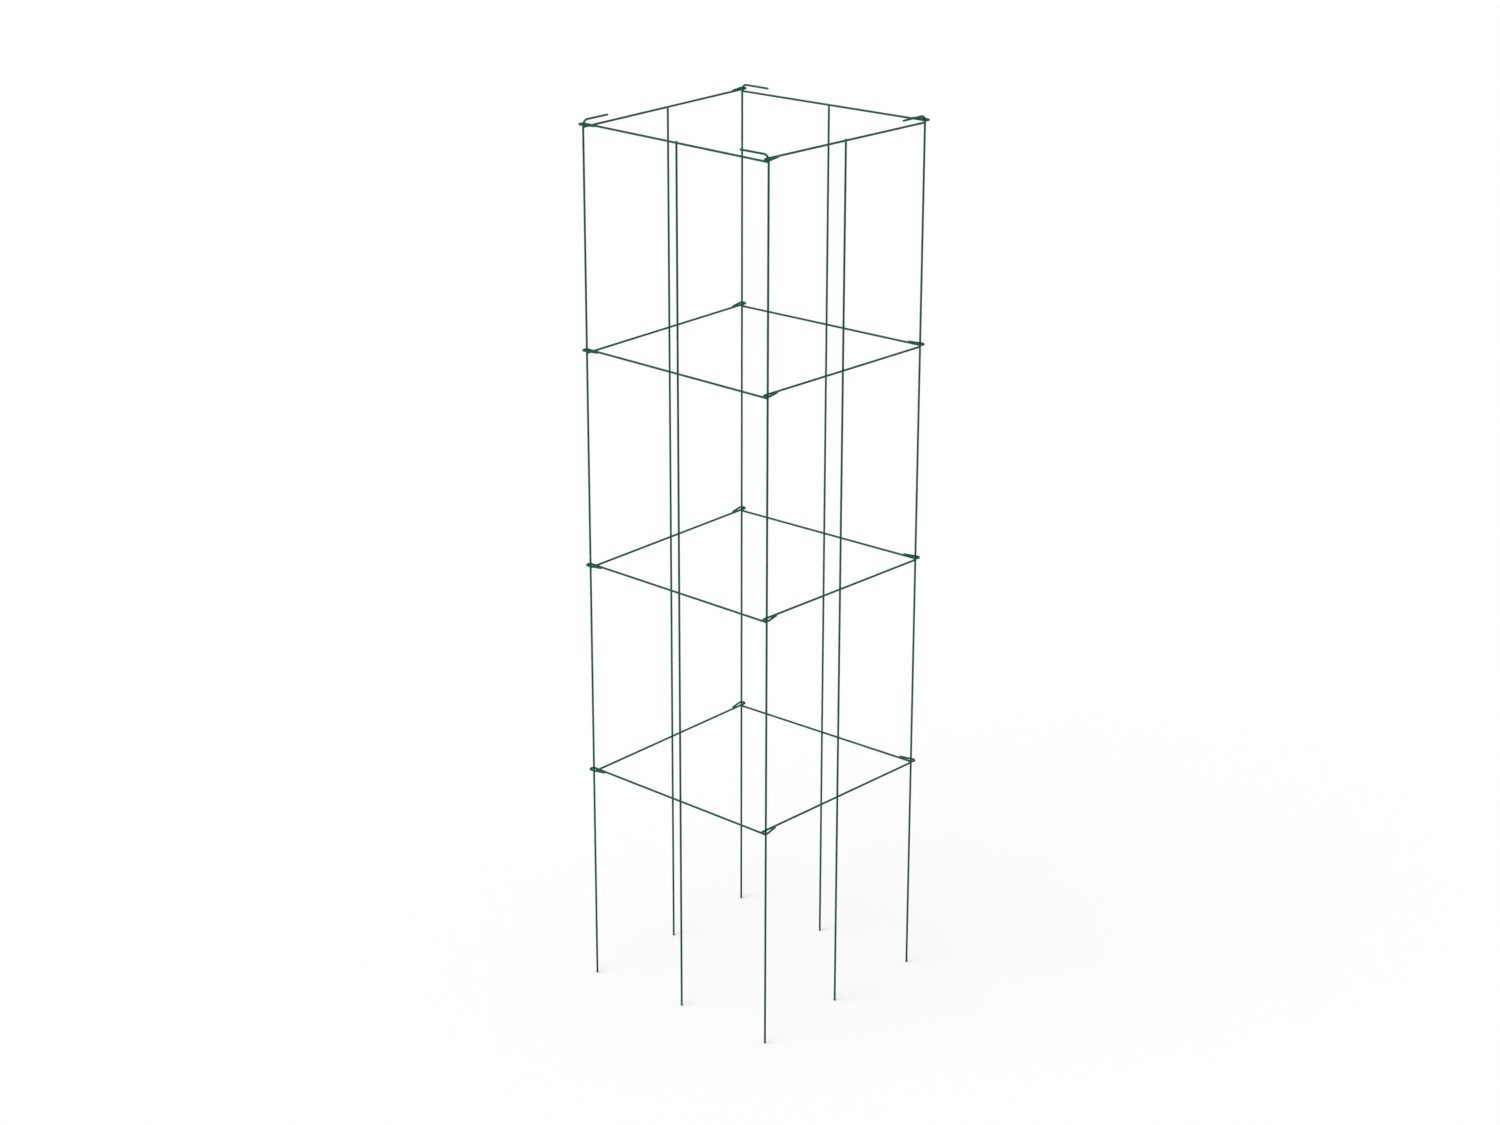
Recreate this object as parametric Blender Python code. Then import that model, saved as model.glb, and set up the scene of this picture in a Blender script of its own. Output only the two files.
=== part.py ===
"""A square plant tower made of four wire panels that hinge on one another and fold flat.

Each panel is six lengths of coated wire. An upright at the panel's own corner has its top bent
over into a hook. A plain upright stands in the middle. Four cross wires are welded to both, and
the far end of each is an open eye, bent round the next panel's corner upright. That upright is
the hinge pin, the eyes are the knuckles, and the hook keeps the eyes from sliding off the top.

The origin is on the ground, at the centre of the square. Seen from above, each panel runs
clockwise from its own corner to the next.
"""

import math

import bpy

# Driving dimensions, in metres.
SIDE = 0.305  # between the axes of two corner uprights
WIRE_DIAMETER = 0.0028
LEG_LENGTH = 0.304  # from the ground to the lowest cross wire
RING_SPACING = 0.294
RING_COUNT = 4

# The hook at the top of a corner upright.
HOOK_RISE = 0.0090  # above the top cross wire
HOOK_REACH = 0.045  # from the upright's axis to the hook's end
HOOK_BEND_RADIUS = 0.0075
HOOK_BEND_STEPS = 7

# The eye at the far end of a cross wire, round the next corner upright.
EYE_INSET = 0.0039  # the main strand passes the upright this far inside its axis
EYE_LIFT = 0.0036  # the eye clears the next panel's cross wire, which is welded just below it
EYE_AHEAD = 0.001  # the U-turn's centre is this far beyond the upright
EYE_RADIUS = 0.0040
EYE_TURN = math.radians(193)  # more than half a turn, so that the open end closes on the wire
EYE_STEPS = 12
EYE_RETURN = 0.020  # straight stretch from the U-turn to the open end

# The middle upright.
MIDDLE_RISE = 0.0032  # above the top cross wire's own end, so that it ends level with that wire

GAP = 0.0003  # left between pieces that touch
BEVEL_STEPS = 2  # eight sides to a wire

# Dark green coating.
COATING_COLOUR = (0.002, 0.074, 0.046, 1.0)
COATING_ROUGHNESS = 0.42

WIRE_RADIUS = WIRE_DIAMETER / 2
TOP_RING = LEG_LENGTH + (RING_COUNT - 1) * RING_SPACING
CLEAR = WIRE_RADIUS + GAP  # from a wire's axis to the end of a wire butted against it

# Panel name: own corner as signs of x and y, heading in degrees, and whether its own corner
# upright is also its hinge. The last panel hinges at its far end, on the first panel's upright.
PANELS = {
    "back": ((-1, 1), 0, True),
    "right": ((1, 1), -90, True),
    "front": ((1, -1), 180, True),
    "left": ((-1, -1), 90, False),
}


def clear_scene():
    for existing in list(bpy.data.objects):
        bpy.data.objects.remove(existing, do_unlink=True)


def make_collection(name):
    collection = bpy.data.collections.new(name)
    bpy.context.scene.collection.children.link(collection)
    return collection


def make_coating(name):
    """The glossy green coating of one wire."""
    material = bpy.data.materials.new(name + "_coating")
    material.use_nodes = True
    shader = material.node_tree.nodes["Principled BSDF"]
    shader.inputs["Base Color"].default_value = COATING_COLOUR
    shader.inputs["Roughness"].default_value = COATING_ROUGHNESS
    shader.inputs["Metallic"].default_value = 0.0
    material.diffuse_color = COATING_COLOUR
    return material


def arc(centre, radius, start, turn, steps):
    """Points along a circular arc in a plane, as pairs, with both of its ends."""
    angles = [start + turn * step / steps for step in range(steps + 1)]
    return [
        (centre[0] + radius * math.cos(angle), centre[1] + radius * math.sin(angle))
        for angle in angles
    ]


def hooked_upright_path():
    """Up from the ground, then round a quarter turn into the hook along the panel."""
    height = TOP_RING + HOOK_RISE
    centre = (HOOK_BEND_RADIUS, height - HOOK_BEND_RADIUS)
    bend = arc(centre, HOOK_BEND_RADIUS, math.pi, -math.pi / 2, HOOK_BEND_STEPS)
    return [(0, 0, 0)] + [(x, 0, z) for x, z in bend] + [(HOOK_REACH, 0, height)]


def middle_upright_path():
    return [(0, 0, 0), (0, 0, TOP_RING + MIDDLE_RISE)]


def cross_wire_path():
    """From the weld on the panel's own corner upright to the open end of the eye."""
    centre = (SIDE + EYE_AHEAD, EYE_RADIUS - EYE_INSET)
    bend = arc(centre, EYE_RADIUS, -math.pi / 2, EYE_TURN, EYE_STEPS)
    end = (
        bend[-1][0] + EYE_RETURN * math.cos(EYE_TURN),
        bend[-1][1] + EYE_RETURN * math.sin(EYE_TURN),
    )
    return [(CLEAR, 0, 0)] + [(x, y, EYE_LIFT) for x, y in bend + [end]]


def add_wire(name, path, place, panel, collection):
    """A round wire along path, with its own origin at place in the panel's axes."""
    curve = bpy.data.curves.new(name, "CURVE")
    curve.dimensions = "3D"
    curve.bevel_depth = WIRE_RADIUS
    curve.bevel_resolution = BEVEL_STEPS
    curve.use_fill_caps = True
    spline = curve.splines.new("POLY")
    spline.points.add(len(path) - 1)
    for point, position in zip(spline.points, path):
        point.co = (*position, 1)
    curve.materials.append(make_coating(name))
    wire = bpy.data.objects.new(name, curve)
    wire.location = place
    wire.parent = panel
    collection.objects.link(wire)


def add_hinge(name, corner, heading, hinged_at_own_corner, collection):
    """The empty that a panel hangs from, on its hinge axis and turned to run along +X."""
    own_x = corner[0] * SIDE / 2
    own_y = corner[1] * SIDE / 2
    offset = 0 if hinged_at_own_corner else SIDE
    hinge = bpy.data.objects.new(name, None)
    hinge.location = (
        own_x + offset * math.cos(heading),
        own_y + offset * math.sin(heading),
        0,
    )
    hinge.rotation_euler = (0, 0, heading)
    collection.objects.link(hinge)
    return hinge, -offset


def add_panel(name, corner, heading, hinged_at_own_corner, collection):
    """One panel. In its own axes it runs along +X, and the inside of the square is towards -Y."""
    hinge, own = add_hinge(
        name + "_hinge", corner, heading, hinged_at_own_corner, collection
    )
    middle_inset = EYE_INSET / 2 + WIRE_DIAMETER + GAP
    add_wire(
        name + "_hooked_upright", hooked_upright_path(), (own, 0, 0), hinge, collection
    )
    add_wire(
        name + "_middle_upright",
        middle_upright_path(),
        (own + SIDE / 2, -middle_inset, 0),
        hinge,
        collection,
    )
    for ring in range(RING_COUNT):
        height = LEG_LENGTH + ring * RING_SPACING
        wire_name = f"{name}_cross_wire_{ring + 1}"
        add_wire(wire_name, cross_wire_path(), (own, 0, height), hinge, collection)


def main():
    clear_scene()
    collection = make_collection("plant_tower")
    for name, (corner, heading, hinged_at_own_corner) in PANELS.items():
        add_panel(name, corner, math.radians(heading), hinged_at_own_corner, collection)


main()
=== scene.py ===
"""The looks of the folding plant tower: smooth coated wires, their welds, and a plain studio.

Every wire stands for the CAD node of the same name. Its place and its main sizes come from that
node's box. What a box can't tell, such as how long an eye's open end is, is named below. All
lengths are in metres.
"""

import math

import bpy
from mathutils import Matrix, Quaternion, Vector, noise


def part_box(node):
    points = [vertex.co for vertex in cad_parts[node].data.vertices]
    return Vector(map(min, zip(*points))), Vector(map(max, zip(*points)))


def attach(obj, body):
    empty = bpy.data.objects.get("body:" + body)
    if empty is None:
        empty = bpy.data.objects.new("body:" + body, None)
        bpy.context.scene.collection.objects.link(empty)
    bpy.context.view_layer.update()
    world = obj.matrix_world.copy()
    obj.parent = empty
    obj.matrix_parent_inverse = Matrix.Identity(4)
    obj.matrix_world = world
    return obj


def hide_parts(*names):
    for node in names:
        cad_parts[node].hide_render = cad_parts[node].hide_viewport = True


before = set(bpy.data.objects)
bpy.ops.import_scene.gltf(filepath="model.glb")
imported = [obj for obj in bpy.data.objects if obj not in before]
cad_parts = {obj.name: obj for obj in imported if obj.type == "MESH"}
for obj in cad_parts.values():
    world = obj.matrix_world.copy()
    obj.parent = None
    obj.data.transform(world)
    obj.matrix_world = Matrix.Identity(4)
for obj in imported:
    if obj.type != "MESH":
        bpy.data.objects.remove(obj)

# Panels, with the heading of each in degrees, seen from above. In its own axes a panel runs along
# +X from its own corner upright, and the inside of the square is towards -Y.
PANELS = {"back": 0, "right": -90, "front": 180, "left": 90}
RING_COUNT = 4

# Bends.
HOOK_BEND_RADIUS = 0.0075
EYE_TURN = math.radians(193)
EYE_RETURN = 0.020
GAP = 0.0003  # the CAD leaves this much between wires that are welded together

# How finely a wire is built.
SIDES = 18
RING_STEP = 0.006  # along straight wire
BEND_STEP = math.radians(7)

# The coating's own unevenness, which makes highlights waver.
RIPPLE = 0.000012
RIPPLE_LENGTH = 0.011
RIPPLE_ROUND = 1.3  # how far the pattern's circle round the wire reaches, in pattern units
RIPPLE_SEED_Y = 17.3  # how far apart the patterns of two wires lie, in pattern units
RIPPLE_SEED_Z = 5.1

# A cut end under its coating: a rounded shoulder round a slightly domed face.
SHOULDER = 0.00038
SHOULDER_STEPS = 5
DOME = 0.00006
INNER_RING_DEPTH = 0.35  # of the dome
INNER_RING_RADIUS = 0.4  # of the wire's radius

# Where the coating is rubbed.
EYE_RUB_REACH = 0.0035
END_RUB_REACH = 0.0009

# Welds.
WELD_SIDES = 28
WELD_STEPS = 7
CORNER_FILLET = 0.0009
CORNER_FILLET_LENGTH = 0.0011
CORNER_SIDE_LENGTH = 0.35  # at the fillet's two sides, as a share of its length above and below
CORNER_FLARE_POWER = 1.3  # higher keeps the flare closer to the fillet's top and bottom
CORNER_FOOT_WIDTH = 0.93  # of the wire's width
CORNER_HEIGHT = 1.02  # where the fillet's curve turns, as a share of the wire's radius
CROSSING_LONG = 0.00155  # half length of a crossing weld's foot along the wire it is on
CROSSING_WIDE = 0.0011  # half width of that foot, across the wire
CROSSING_WAIST = 0.58
EMBED = 0.00004  # how far a weld's edge is sunk in the wire

# Coating colours, linear.
COATING = (0.0006, 0.084, 0.0515, 1)
COATING_DARK = (0.0004, 0.062, 0.0370, 1)
COATING_FLECK = (0.0012, 0.110, 0.0680, 1)
COATING_RUBBED = (0.0080, 0.150, 0.1000, 1)
COATING_POOLED = (0.0004, 0.056, 0.0340, 1)
COATING_GLOSS = 0.1

# Coating patterns: features in a metre, and how much finer detail each has.
MOTTLE_SCALE, MOTTLE_DETAIL = 60, 3
MOTTLE_STRETCH = (6, 6, 1)
LINE_SCALE, LINE_DETAIL = 1600, 3
LINE_STRETCH = (1, 1, 0.05)
PEEL_SCALE, PEEL_DETAIL = 620, 2
SPECK_SCALE, SPECK_DETAIL = 2600, 2
LUMP_SCALE, LUMP_DETAIL = 700, 3
WELD_PEEL_SCALE, WELD_PEEL_DETAIL = 1600, 1

# What the patterns do. Pattern values from the first number to the second become shares of a
# colour, or roughness, from the third number to the fourth.
MOTTLE_SHARE = (0.35, 0.65, 0, 1)
FLECK_SHARE = (0.52, 0.72, 0, 0.6)
LINE_SHARE = (0.50, 0.68, 0, 0.35)
PATCHY_SHARE = (0.35, 0.62, 0, 1)
POOLED_SHARE = (0.35, 0.65, 0, 1)
COATING_ROUGHNESS = (0.3, 0.7, 0.30, 0.44)
WELD_ROUGHNESS = (0.3, 0.7, 0.26, 0.38)

# Rubbed spots: how much they show their own colour, and how much less rough they are.
RUBBED_SHARE = 0.7
POLISH = 0.10

# Bumps: strength, and depth in metres.
PEEL_BUMP = (0.8, 0.00009)
LINE_BUMP = (0.6, 0.00003)
LUMP_BUMP = (0.8, 0.00014)

# Studio.
FLOOR_RADIUS = 30
FLOOR_SIDES = 96
FLOOR_COLOUR = (0.88, 0.88, 0.88, 1)
FLOOR_ROUGHNESS = 0.9
FLOOR_GLOSS = 0.1
WORLD_COLOUR = (1, 1, 1, 1)
HORIZON_STRENGTH = 1.0
OVERHEAD_STRENGTH = 0.6
HORIZON_TOP = 0.25  # the sine of the elevation up to which the horizon's strength reaches
OVERHEAD_START = 0.5
KEY_STRENGTH = 1.85
KEY_SPREAD = math.radians(55)
KEY_AZIMUTH = math.radians(-105)
KEY_ELEVATION = math.radians(55)

# Camera.
CAMERA_TARGET = (-0.0039, 0.0029, 0.600)
CAMERA_DISTANCE = 4.013
CAMERA_AZIMUTH = math.radians(-49.38)
CAMERA_ELEVATION = math.radians(20.075)
CAMERA_ROLL = math.radians(0.13)
CAMERA_LENS = 72.74
CAMERA_SENSOR = 36

# Sockets of Blender's Mix node that are used when it mixes colours.
MIX_FIRST, MIX_SECOND, MIX_RESULT = 6, 7, 2


class Panel:
    """A panel's own axes, and the sizes that its CAD nodes' boxes tell."""

    def __init__(self, name, heading):
        self.name = name
        self.body = name + "_panel"
        self.turn = Matrix.Rotation(math.radians(heading), 4, "Z")
        middle_low, middle_high = self.box("middle_upright")
        self.radius = (middle_high.x - middle_low.x) / 2
        hooked_low, hooked_high = self.box("hooked_upright")
        self.corner_x = hooked_low.x + self.radius
        self.corner_y = hooked_low.y + self.radius
        self.hook_height = hooked_high.z - self.radius
        self.hook_end = hooked_high.x
        self.middle_x = middle_low.x + self.radius
        self.middle_y = middle_low.y + self.radius
        self.middle_top = middle_high.z
        self.next_x = -self.corner_x  # the square is centred on the origin

    def box(self, part):
        """A node's lowest and highest corners in the panel's own axes."""
        inverse = self.turn.inverted()
        corners = [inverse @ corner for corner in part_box(f"{self.name}_{part}")]
        low = Vector(map(min, *corners))
        high = Vector(map(max, *corners))
        return low, high


def arc_points(centre, radius, start, turn, place):
    """Points round an arc, first and last included. place turns a pair of numbers into a point."""
    steps = math.ceil(abs(turn) / BEND_STEP)
    points = []
    for step in range(steps + 1):
        angle = start + turn * step / steps
        u = centre[0] + radius * math.cos(angle)
        v = centre[1] + radius * math.sin(angle)
        points.append(place(u, v))
    return points


def straight_points(start, end):
    """Points from start to end, without either."""
    steps = max(1, round((end - start).length / RING_STEP))
    return [start.lerp(end, step / steps) for step in range(1, steps)]


def hooked_upright_line(panel):
    """The centre line of a corner upright, from the ground up and over into its hook."""
    x, y, top = panel.corner_x, panel.corner_y, panel.hook_height
    foot = Vector((x, y, 0))
    centre = (x + HOOK_BEND_RADIUS, top - HOOK_BEND_RADIUS)
    bend = arc_points(
        centre, HOOK_BEND_RADIUS, math.pi, -math.pi / 2, lambda u, v: Vector((u, y, v))
    )
    tip = Vector((panel.hook_end, y, top))
    return (
        [foot]
        + straight_points(foot, bend[0])
        + bend
        + straight_points(bend[-1], tip)
        + [tip]
    )


def middle_upright_line(panel):
    foot = Vector((panel.middle_x, panel.middle_y, 0))
    top = Vector((panel.middle_x, panel.middle_y, panel.middle_top))
    return [foot] + straight_points(foot, top) + [top]


def cross_wire_line(panel, ring):
    """The centre line of a cross wire, from its weld to the open end of its eye."""
    low, high = panel.box(f"cross_wire_{ring}")
    r = panel.radius
    weld = Vector((low.x, panel.corner_y, low.z + r))
    eye_radius = (high.y - low.y) / 2 - r
    centre = (high.x - r - eye_radius, (high.y + low.y) / 2)
    eye_z = high.z - r
    bend = arc_points(
        centre, eye_radius, -math.pi / 2, EYE_TURN, lambda u, v: Vector((u, v, eye_z))
    )
    way_back = Vector((math.cos(EYE_TURN), math.sin(EYE_TURN), 0))
    end = bend[-1] + EYE_RETURN * way_back
    return (
        [weld]
        + straight_points(weld, bend[0])
        + bend
        + straight_points(bend[-1], end)
        + [end]
    )


def end_profile(radius):
    """Insets from a cut end, with the wire's radius at each, from the face outwards."""
    inner_ring = (DOME * INNER_RING_DEPTH, radius * INNER_RING_RADIUS)
    profile = [inner_ring, (DOME, radius - SHOULDER)]
    for step in range(1, SHOULDER_STEPS + 1):
        angle = math.pi / 2 * step / SHOULDER_STEPS
        inset = DOME + SHOULDER * (1 - math.cos(angle))
        profile.append((inset, radius - SHOULDER * (1 - math.sin(angle))))
    return profile


def stations(line, radius):
    """Centre, tangent, radius and distance along the wire for every ring of a wire."""
    first = (line[1] - line[0]).normalized()
    last = (line[-1] - line[-2]).normalized()
    total = sum((b - a).length for a, b in zip(line, line[1:]))
    profile = end_profile(radius)
    rings = [(line[0] + first * inset, first, size, inset) for inset, size in profile]
    along = 0
    for before, here, after in zip(line, line[1:], line[2:]):
        along += (here - before).length
        rings.append((here, (after - before).normalized(), radius, along))
    for inset, size in reversed(profile):
        rings.append((line[-1] - last * inset, last, size, total - inset))
    return rings


def ripple(along, angle, seed):
    """A small change of the coated wire's radius, inwards, different all along it and round it."""
    y = RIPPLE_ROUND * math.cos(angle)
    z = RIPPLE_ROUND * math.sin(angle)
    place = Vector((along / RIPPLE_LENGTH, y, z))
    own_place = Vector((0, seed * RIPPLE_SEED_Y, seed * RIPPLE_SEED_Z))
    return RIPPLE * (noise.noise(place + own_place) - 1)


def wire_mesh(name, line, radius, seed, rub):
    """A closed round wire along line. rub(point, along, total) tells how rubbed a point is."""
    rings = stations(line, radius)
    total = rings[-1][3]
    normal = rings[0][1].orthogonal().normalized()
    vertices = [line[0]]
    wire_space = [(0, 0, 0)]
    rubbed = [rub(line[0], 0, total)]
    for number, (centre, tangent, size, along) in enumerate(rings):
        if number:
            normal = rings[number - 1][1].rotation_difference(tangent) @ normal
        normal = (normal - tangent * normal.dot(tangent)).normalized()
        across = tangent.cross(normal)
        for side in range(SIDES):
            angle = 2 * math.pi * side / SIDES
            way = normal * math.cos(angle) + across * math.sin(angle)
            point = centre + way * (size + ripple(along, angle, seed))
            vertices.append(point)
            wire_space.append((size * math.cos(angle), size * math.sin(angle), along))
            rubbed.append(rub(point, along, total))
    vertices.append(line[-1])
    wire_space.append((0, 0, total))
    rubbed.append(rub(line[-1], total, total))
    mesh = bpy.data.meshes.new(name)
    mesh.from_pydata(vertices, [], tube_faces(len(rings), SIDES))
    add_attribute(mesh, "wire_space", "FLOAT_VECTOR", "vector", wire_space)
    add_attribute(mesh, "rubbed", "FLOAT", "value", rubbed)
    mesh.shade_smooth()
    return mesh


def tube_faces(ring_count, sides):
    """Faces of a closed tube: a first point, ring_count rings of sides points, and a last point."""
    faces = []
    for side in range(sides):
        following = (side + 1) % sides
        faces.append((0, 1 + following, 1 + side))
        for ring in range(ring_count - 1):
            start = 1 + ring * sides
            faces.append(
                (start + side, start + following, start + sides + following, start + sides + side)
            )
        start = 1 + (ring_count - 1) * sides
        faces.append((start + side, start + following, start + sides))
    return faces


def add_attribute(mesh, name, kind, field, values):
    attribute = mesh.attributes.new(name, kind, "POINT")
    flat = [number for value in values for number in value] if field == "vector" else values
    attribute.data.foreach_set(field, flat)


def fade(distance, reach):
    """1 at no distance, falling smoothly to 0 at reach."""
    share = max(0, 1 - distance / reach)
    return share * share * (3 - 2 * share)


def end_rub(along, total):
    return fade(min(along, total - along), END_RUB_REACH)


def upright_rub(panel):
    """Rubbed at its cut ends, and where the eyes of the panel before turn on it."""
    boxes = [panel.box(f"cross_wire_{ring + 1}") for ring in range(RING_COUNT)]
    eye_heights = [high.z - panel.radius for low, high in boxes]

    def rub(point, along, total):
        beside_eye = min(abs(point.z - height) for height in eye_heights)
        return max(end_rub(along, total), fade(beside_eye, EYE_RUB_REACH))

    return rub


def eye_rub(panel):
    """Rubbed at the open end, and inside the eye."""
    pin = Vector((panel.next_x, panel.corner_y))

    def rub(point, along, total):
        from_pin = (point.xy - pin).length - 2 * panel.radius
        return max(end_rub(along, total), fade(max(0, from_pin), EYE_RUB_REACH / 2))

    return rub


def plain_rub(point, along, total):
    return end_rub(along, total)


def add_piece(name, mesh, material, panel):
    """The object that shows a mesh made in a panel's own axes, riding on that panel's body."""
    mesh.transform(panel.turn)
    mesh.materials.append(material)
    piece = bpy.data.objects.new(name, mesh)
    bpy.context.scene.collection.objects.link(piece)
    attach(piece, panel.body)
    return piece


def add_wire(panel, part, line, seed, rub, material):
    node = f"{panel.name}_{part}"
    mesh = wire_mesh(node + "_coated", line, panel.radius, seed, rub)
    piece = add_piece(node + "_coated", mesh, material, panel)
    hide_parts(node)


def closed_rings(rings):
    """Vertices and faces of a closed solid through rings of points, capped at both ends."""
    sides = len(rings[0])
    first = sum(rings[0], Vector()) / sides
    last = sum(rings[-1], Vector()) / sides
    vertices = [first] + [point for ring in rings for point in ring] + [last]
    return vertices, tube_faces(len(rings), sides)


def curve_between(start, control, end, share):
    """A point on the quadratic curve from start to end that is drawn towards control."""
    return start.lerp(control, share).lerp(control.lerp(end, share), share)


def corner_weld(centre, radius):
    """The fillet where a cross wire, along +X, is butt welded to its upright, along Z."""
    sunk = radius - EMBED
    steps = range(WELD_STEPS + 1)
    profiles = []
    for side in range(WELD_SIDES):
        angle = 2 * math.pi * side / WELD_SIDES
        y, z = math.cos(angle), math.sin(angle)
        flare = abs(z) ** CORNER_FLARE_POWER
        foot_y = sunk * CORNER_FOOT_WIDTH * y
        foot_z = (radius + CORNER_FILLET * flare) * z
        foot = Vector((math.sqrt(sunk**2 - foot_y**2), foot_y, foot_z))
        corner_x = math.sqrt(radius**2 - foot_y**2)
        corner = Vector((corner_x, radius * y, radius * z * CORNER_HEIGHT))
        length_share = CORNER_SIDE_LENGTH + (1 - CORNER_SIDE_LENGTH) * flare
        wire_x = radius + GAP + CORNER_FILLET_LENGTH * length_share
        edge = Vector((wire_x, sunk * y, sunk * z))
        profiles.append(
            [centre + curve_between(foot, corner, edge, step / WELD_STEPS) for step in steps]
        )
    return closed_rings([list(ring) for ring in zip(*profiles)])


def crossing_weld(upright, wire, radius, room_above):
    """The weld between a middle upright, along Z, and the cross wire just outside it, along X.

    room_above is how far up the upright the weld may reach before the upright ends.
    """
    middle = upright.lerp(wire, 0.5)
    sunk = radius - EMBED
    steps = range(WELD_STEPS + 1)
    profiles = []
    for side in range(WELD_SIDES):
        angle = 2 * math.pi * side / WELD_SIDES
        x, z = math.cos(angle), math.sin(angle)
        reach = min(CROSSING_LONG, room_above) if z > 0 else CROSSING_LONG
        low_x, low_z = CROSSING_WIDE * x, reach * z
        low = upright + Vector((low_x, math.sqrt(sunk**2 - low_x**2), low_z))
        high_x, high_z = CROSSING_LONG * x, CROSSING_WIDE * z
        high = wire + Vector((high_x, -math.sqrt(sunk**2 - high_z**2), high_z))
        waist = middle + Vector((x, 0, z)) * CROSSING_LONG * CROSSING_WAIST / 2
        profiles.append(
            [curve_between(low, waist, high, step / WELD_STEPS) for step in steps]
        )
    return closed_rings([list(ring) for ring in zip(*profiles)])


def join_solids(name, solids):
    """One mesh of several separate closed solids, with faces outward."""
    vertices, faces = [], []
    for solid_vertices, solid_faces in solids:
        offset = len(vertices)
        vertices += solid_vertices
        faces += [tuple(offset + corner for corner in face) for face in solid_faces]
    mesh = bpy.data.meshes.new(name)
    mesh.from_pydata(vertices, [], faces)
    mesh.shade_smooth()
    return mesh


def add_welds(panel, material):
    corner, crossing = [], []
    for ring in range(1, RING_COUNT + 1):
        line = cross_wire_line(panel, ring)
        corner.append(
            corner_weld(Vector((panel.corner_x, panel.corner_y, line[0].z)), panel.radius)
        )
        near = min(line, key=lambda point: abs(point.x - panel.middle_x))
        upright = Vector((panel.middle_x, panel.middle_y, near.z))
        wire = Vector((panel.middle_x, near.y, near.z))
        room_above = panel.middle_top - SHOULDER - near.z
        crossing.append(crossing_weld(upright, wire, panel.radius, room_above))
    for part, solids in (("corner_welds", corner), ("crossing_welds", crossing)):
        name = f"{panel.name}_{part}"
        add_piece(name, join_solids(name, solids), material, panel)


class Nodes:
    """A short way to add nodes to a material or a world."""

    def __init__(self, owner, shader="Principled BSDF"):
        owner.use_nodes = True
        self.tree = owner.node_tree
        self.shader = self.tree.nodes[shader]

    def add(self, kind, **settings):
        node = self.tree.nodes.new(kind)
        for name, value in settings.items():
            setattr(node, name, value)
        return node

    def link(self, output, target):
        self.tree.links.new(output, target)

    def noise(self, vector, scale, detail, stretch=(1, 1, 1)):
        """A noise texture's value, at scale features a metre, stretched along the axes."""
        mapping = self.add("ShaderNodeMapping")
        mapping.inputs["Scale"].default_value = stretch
        self.link(vector, mapping.inputs["Vector"])
        texture = self.add("ShaderNodeTexNoise")
        texture.inputs["Scale"].default_value = scale
        texture.inputs["Detail"].default_value = detail
        self.link(mapping.outputs["Vector"], texture.inputs["Vector"])
        return texture.outputs["Fac"]

    def range(self, value, low, high, to_low, to_high):
        """value, moved from low..high to to_low..to_high and kept there."""
        node = self.add("ShaderNodeMapRange")
        for name, number in (
            ("From Min", low),
            ("From Max", high),
            ("To Min", to_low),
            ("To Max", to_high),
        ):
            node.inputs[name].default_value = number
        self.link(value, node.inputs["Value"])
        return node.outputs["Result"]

    def math(self, operation, first, second):
        node = self.add("ShaderNodeMath", operation=operation, use_clamp=True)
        self.link(first, node.inputs[0])
        if isinstance(second, float):
            node.inputs[1].default_value = second
        else:
            self.link(second, node.inputs[1])
        return node.outputs["Value"]

    def mix(self, share, first, second):
        """Two colours mixed. Each is a colour or another node's output."""
        node = self.add("ShaderNodeMix", data_type="RGBA")
        self.link(share, node.inputs["Factor"])
        for number, colour in ((MIX_FIRST, first), (MIX_SECOND, second)):
            socket = node.inputs[number]
            if isinstance(colour, tuple):
                socket.default_value = colour
            else:
                self.link(colour, socket)
        return node.outputs[MIX_RESULT]

    def bump(self, height, strength, distance, normal=None):
        node = self.add("ShaderNodeBump")
        node.inputs["Strength"].default_value = strength
        node.inputs["Distance"].default_value = distance
        self.link(height, node.inputs["Height"])
        if normal:
            self.link(normal, node.inputs["Normal"])
        return node.outputs["Normal"]


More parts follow.
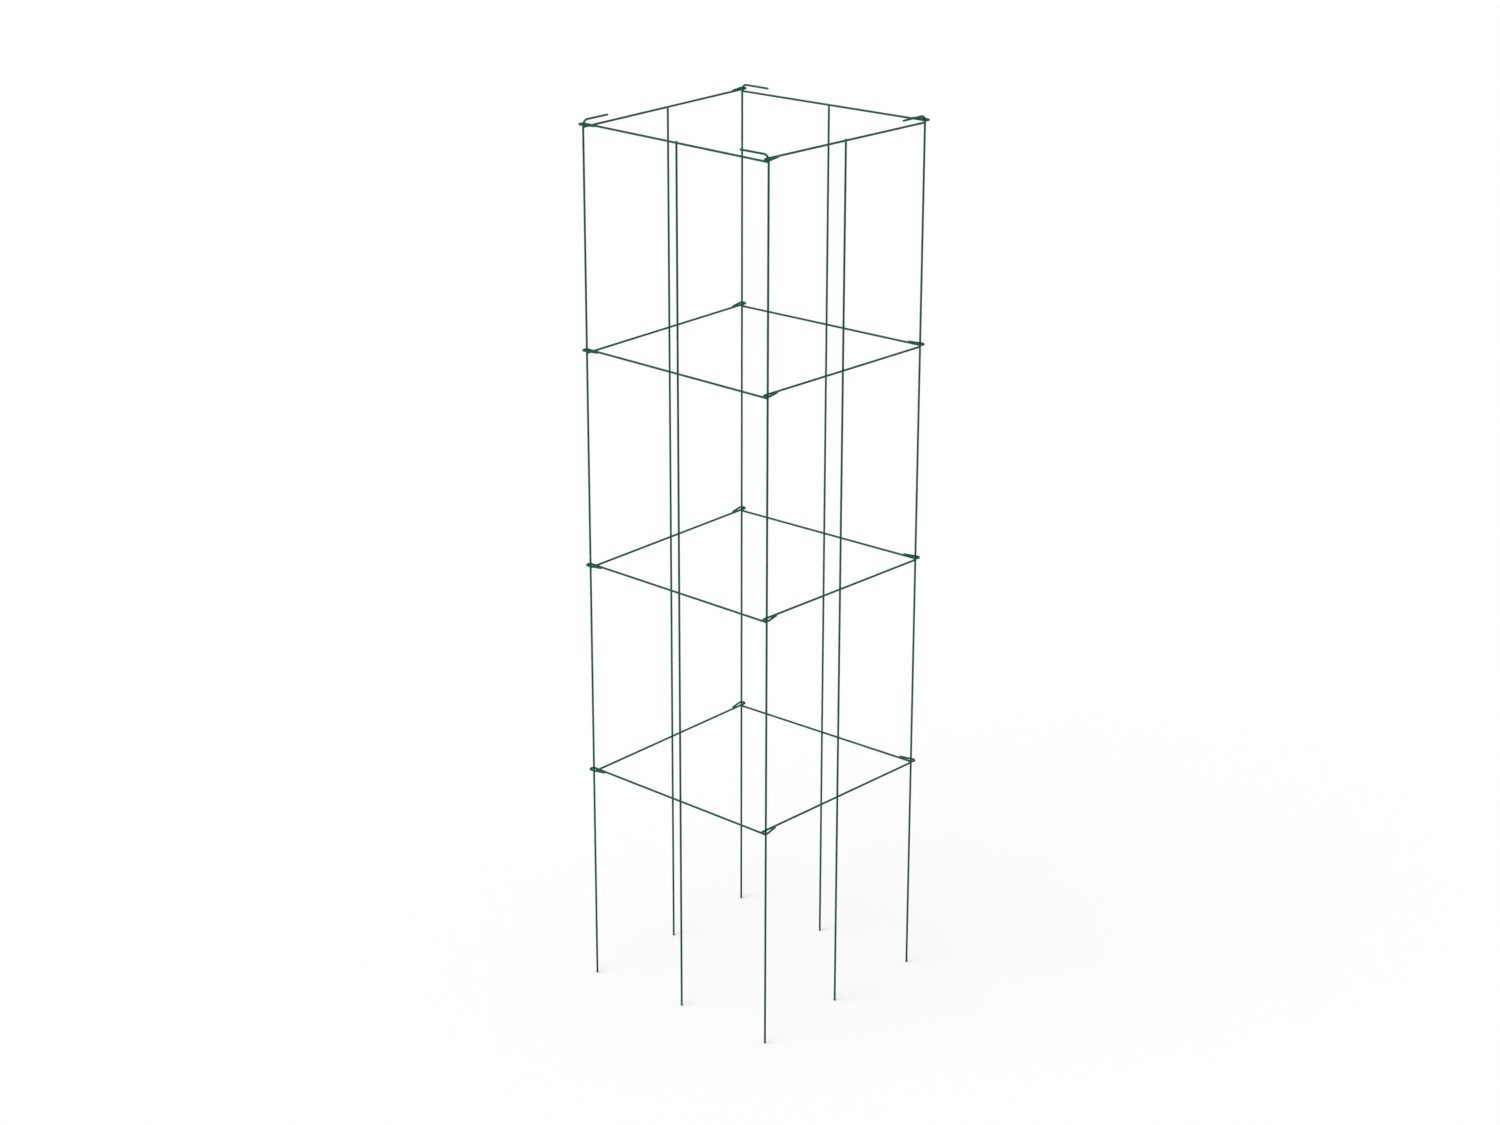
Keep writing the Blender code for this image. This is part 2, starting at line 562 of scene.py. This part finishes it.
def wire_coating():
    """Satin green coating that shows the drawn wire's faint lengthwise lines, with rubbed spots."""
    material = bpy.data.materials.new("green_wire_coating")
    nodes = Nodes(material)
    space = nodes.add("ShaderNodeAttribute", attribute_name="wire_space").outputs["Vector"]
    rubbed = nodes.add("ShaderNodeAttribute", attribute_name="rubbed").outputs["Fac"]
    mottle = nodes.noise(space, MOTTLE_SCALE, MOTTLE_DETAIL, MOTTLE_STRETCH)
    lines = nodes.noise(space, LINE_SCALE, LINE_DETAIL, LINE_STRETCH)
    peel = nodes.noise(space, PEEL_SCALE, PEEL_DETAIL)
    specks = nodes.noise(space, SPECK_SCALE, SPECK_DETAIL)
    patchy_rub = nodes.math("MULTIPLY", rubbed, nodes.range(specks, *PATCHY_SHARE))
    colour = nodes.mix(nodes.range(mottle, *MOTTLE_SHARE), COATING_DARK, COATING)
    colour = nodes.mix(nodes.range(specks, *FLECK_SHARE), colour, COATING_FLECK)
    colour = nodes.mix(nodes.range(lines, *LINE_SHARE), colour, COATING_DARK)
    rub_share = nodes.math("MULTIPLY", patchy_rub, RUBBED_SHARE)
    colour = nodes.mix(rub_share, colour, COATING_RUBBED)
    nodes.link(colour, nodes.shader.inputs["Base Color"])
    roughness = nodes.range(peel, *COATING_ROUGHNESS)
    polish = nodes.math("MULTIPLY", rubbed, POLISH)
    roughness = nodes.math("SUBTRACT", roughness, polish)
    nodes.link(roughness, nodes.shader.inputs["Roughness"])
    normal = nodes.bump(peel, *PEEL_BUMP)
    normal = nodes.bump(lines, *LINE_BUMP, normal)
    nodes.link(normal, nodes.shader.inputs["Normal"])
    nodes.shader.inputs["Specular IOR Level"].default_value = COATING_GLOSS
    return material


def weld_coating():
    """The same coating where it has pooled, thicker, over a weld."""
    material = bpy.data.materials.new("green_weld_coating")
    nodes = Nodes(material)
    space = nodes.add("ShaderNodeTexCoord").outputs["Object"]
    lumps = nodes.noise(space, LUMP_SCALE, LUMP_DETAIL)
    peel = nodes.noise(space, WELD_PEEL_SCALE, WELD_PEEL_DETAIL)
    colour = nodes.mix(nodes.range(lumps, *POOLED_SHARE), COATING_POOLED, COATING)
    nodes.link(colour, nodes.shader.inputs["Base Color"])
    nodes.link(nodes.range(peel, *WELD_ROUGHNESS), nodes.shader.inputs["Roughness"])
    nodes.link(nodes.bump(lumps, *LUMP_BUMP), nodes.shader.inputs["Normal"])
    nodes.shader.inputs["Specular IOR Level"].default_value = COATING_GLOSS
    return material


def add_tower():
    coating = wire_coating()
    pooled = weld_coating()
    seed = 0
    for name, heading in PANELS.items():
        panel = Panel(name, heading)
        seed += 1
        line = hooked_upright_line(panel)
        add_wire(panel, "hooked_upright", line, seed, upright_rub(panel), coating)
        seed += 1
        line = middle_upright_line(panel)
        add_wire(panel, "middle_upright", line, seed, plain_rub, coating)
        for ring in range(1, RING_COUNT + 1):
            seed += 1
            line = cross_wire_line(panel, ring)
            add_wire(panel, f"cross_wire_{ring}", line, seed, eye_rub(panel), coating)
        add_welds(panel, pooled)


def add_floor():
    mesh = bpy.data.meshes.new("floor")
    rim = []
    for side in range(FLOOR_SIDES):
        angle = 2 * math.pi * side / FLOOR_SIDES
        rim.append((FLOOR_RADIUS * math.cos(angle), FLOOR_RADIUS * math.sin(angle), 0))
    mesh.from_pydata(rim, [], [tuple(range(FLOOR_SIDES))])
    material = bpy.data.materials.new("floor_white")
    nodes = Nodes(material)
    nodes.shader.inputs["Base Color"].default_value = FLOOR_COLOUR
    nodes.shader.inputs["Roughness"].default_value = FLOOR_ROUGHNESS
    nodes.shader.inputs["Specular IOR Level"].default_value = FLOOR_GLOSS
    mesh.materials.append(material)
    floor = bpy.data.objects.new("floor", mesh)
    bpy.context.scene.collection.objects.link(floor)


def direction(azimuth, elevation):
    """The way to something seen at these angles: azimuth 0 is towards -Y, and 90 towards +X."""
    return Vector(
        (
            math.sin(azimuth) * math.cos(elevation),
            -math.cos(azimuth) * math.cos(elevation),
            math.sin(elevation),
        )
    )


def add_key_light():
    """A very wide soft light, the same all over the floor."""
    light = bpy.data.lights.new("key", "SUN")
    light.energy = KEY_STRENGTH
    light.angle = KEY_SPREAD
    lamp = bpy.data.objects.new("key", light)
    lamp.rotation_mode = "QUATERNION"
    lamp.rotation_quaternion = (-direction(KEY_AZIMUTH, KEY_ELEVATION)).to_track_quat("-Z", "Y")
    bpy.context.scene.collection.objects.link(lamp)


def add_world():
    """White, as bright as the floor where the two meet, and dimmer overhead."""
    world = bpy.data.worlds.new("studio")
    nodes = Nodes(world, "Background")
    split = nodes.add("ShaderNodeSeparateXYZ")
    nodes.link(nodes.add("ShaderNodeTexCoord").outputs["Generated"], split.inputs["Vector"])
    strength = nodes.range(
        split.outputs["Z"], HORIZON_TOP, OVERHEAD_START, HORIZON_STRENGTH, OVERHEAD_STRENGTH
    )
    nodes.link(strength, nodes.shader.inputs["Strength"])
    nodes.shader.inputs["Color"].default_value = WORLD_COLOUR
    bpy.context.scene.world = world


def add_studio():
    add_floor()
    add_world()
    add_key_light()
    bpy.context.scene.view_settings.view_transform = "Standard"


def add_camera():
    data = bpy.data.cameras.new("camera")
    data.lens = CAMERA_LENS
    data.sensor_width = CAMERA_SENSOR
    back = direction(CAMERA_AZIMUTH, CAMERA_ELEVATION)
    camera = bpy.data.objects.new("camera", data)
    camera.location = Vector(CAMERA_TARGET) + back * CAMERA_DISTANCE
    camera.rotation_mode = "QUATERNION"
    level = (-back).to_track_quat("-Z", "Y")
    camera.rotation_quaternion = level @ Quaternion((0, 0, 1), CAMERA_ROLL)
    bpy.context.scene.collection.objects.link(camera)
    bpy.context.scene.camera = camera


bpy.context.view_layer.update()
add_camera()
add_tower()
add_studio()
